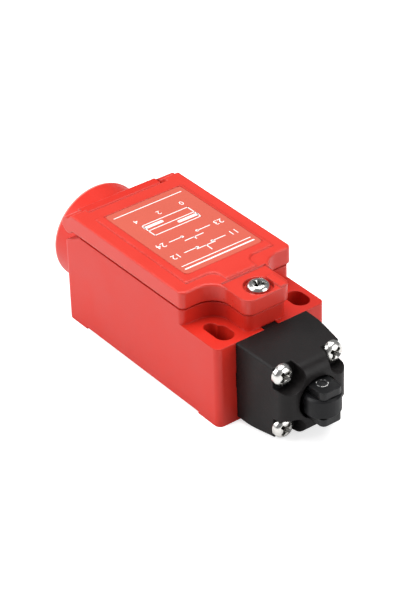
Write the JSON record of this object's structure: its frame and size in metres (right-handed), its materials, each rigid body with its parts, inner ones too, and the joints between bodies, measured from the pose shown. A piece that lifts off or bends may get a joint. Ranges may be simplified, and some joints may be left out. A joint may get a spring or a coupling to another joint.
{
  "type": "safety limit switch",
  "caption": "Plastic safety limit switch with a sprung roller plunger, hinged cover, round cable entry and slotted fixing holes.",
  "frame": {"origin": "on the mounting face, in the middle of the body's width, on the line through the two fixing holes", "axes": "+X along the body from the cable entry to the roller, +Y across the body, +Z from the mounting face up through the cover"},
  "size_m": [0.0876, 0.0306, 0.0299],
  "materials": {
    "red_body": "satin",
    "red_cover": "satin",
    "black_head": "satin",
    "black_plunger": "satin",
    "dark_roller": "satin",
    "bright_steel": "bright",
    "spring_steel": "satin",
    "seal_rubber": "matte",
    "white_rod": "satin",
    "dark_block": "matte",
    "contact_brass": "satin"
  },
  "bodies": {
    "body": {"housing": "red_body", "cover_gasket": "seal_rubber", "operating_head": "black_head", "head_screws": "bright_steel", "head_gasket": "seal_rubber", "plunger_seal": "seal_rubber", "return_spring": "spring_steel", "spring_plate": "bright_steel", "contact_base": "dark_block", "contact_lid": "dark_block", "fixed_contacts": "contact_brass", "terminal_clamps": "bright_steel", "terminal_screws": "bright_steel", "block_screw": "bright_steel"},
    "lid": {"cover": "red_cover", "cover_screw": "bright_steel", "screw_keeper": "white_rod"},
    "plunger": {"roller_plunger": "black_plunger", "roller_axle": "black_plunger", "push_rod": "white_rod"},
    "wheel": {"roller": "dark_roller"},
    "slider": {"contact_slider": "white_rod", "contact_bridges": "contact_brass", "contact_springs": "spring_steel"}
  },
  "joints": [
    {"name": "plunger_slide", "type": "slide", "parent": "body", "child": "plunger", "axis": [-1, 0, 0], "range_m": [0, 0.004], "stiffness_N_per_m": 900, "springref_m": -0.006, "deforming": ["return_spring"]},
    {"name": "roller_spin", "type": "hinge", "parent": "plunger", "child": "wheel", "pos_m": [0.0222, 0, 0.0107], "axis": [0, 0, 1], "continuous": true},
    {"name": "contact_slide", "type": "slide", "parent": "body", "child": "slider", "axis": [-1, 0, 0], "range_m": [0, 0.004]},
    {"name": "cover_hinge", "type": "hinge", "parent": "body", "child": "lid", "pos_m": [-0.0503, 0, 0.0261], "axis": [0, -1, 0], "range_deg": [0, 95]}
  ],
  "couplings": [
    {"joint": "contact_slide", "follows": "plunger_slide", "ratio": 1}
  ]
}
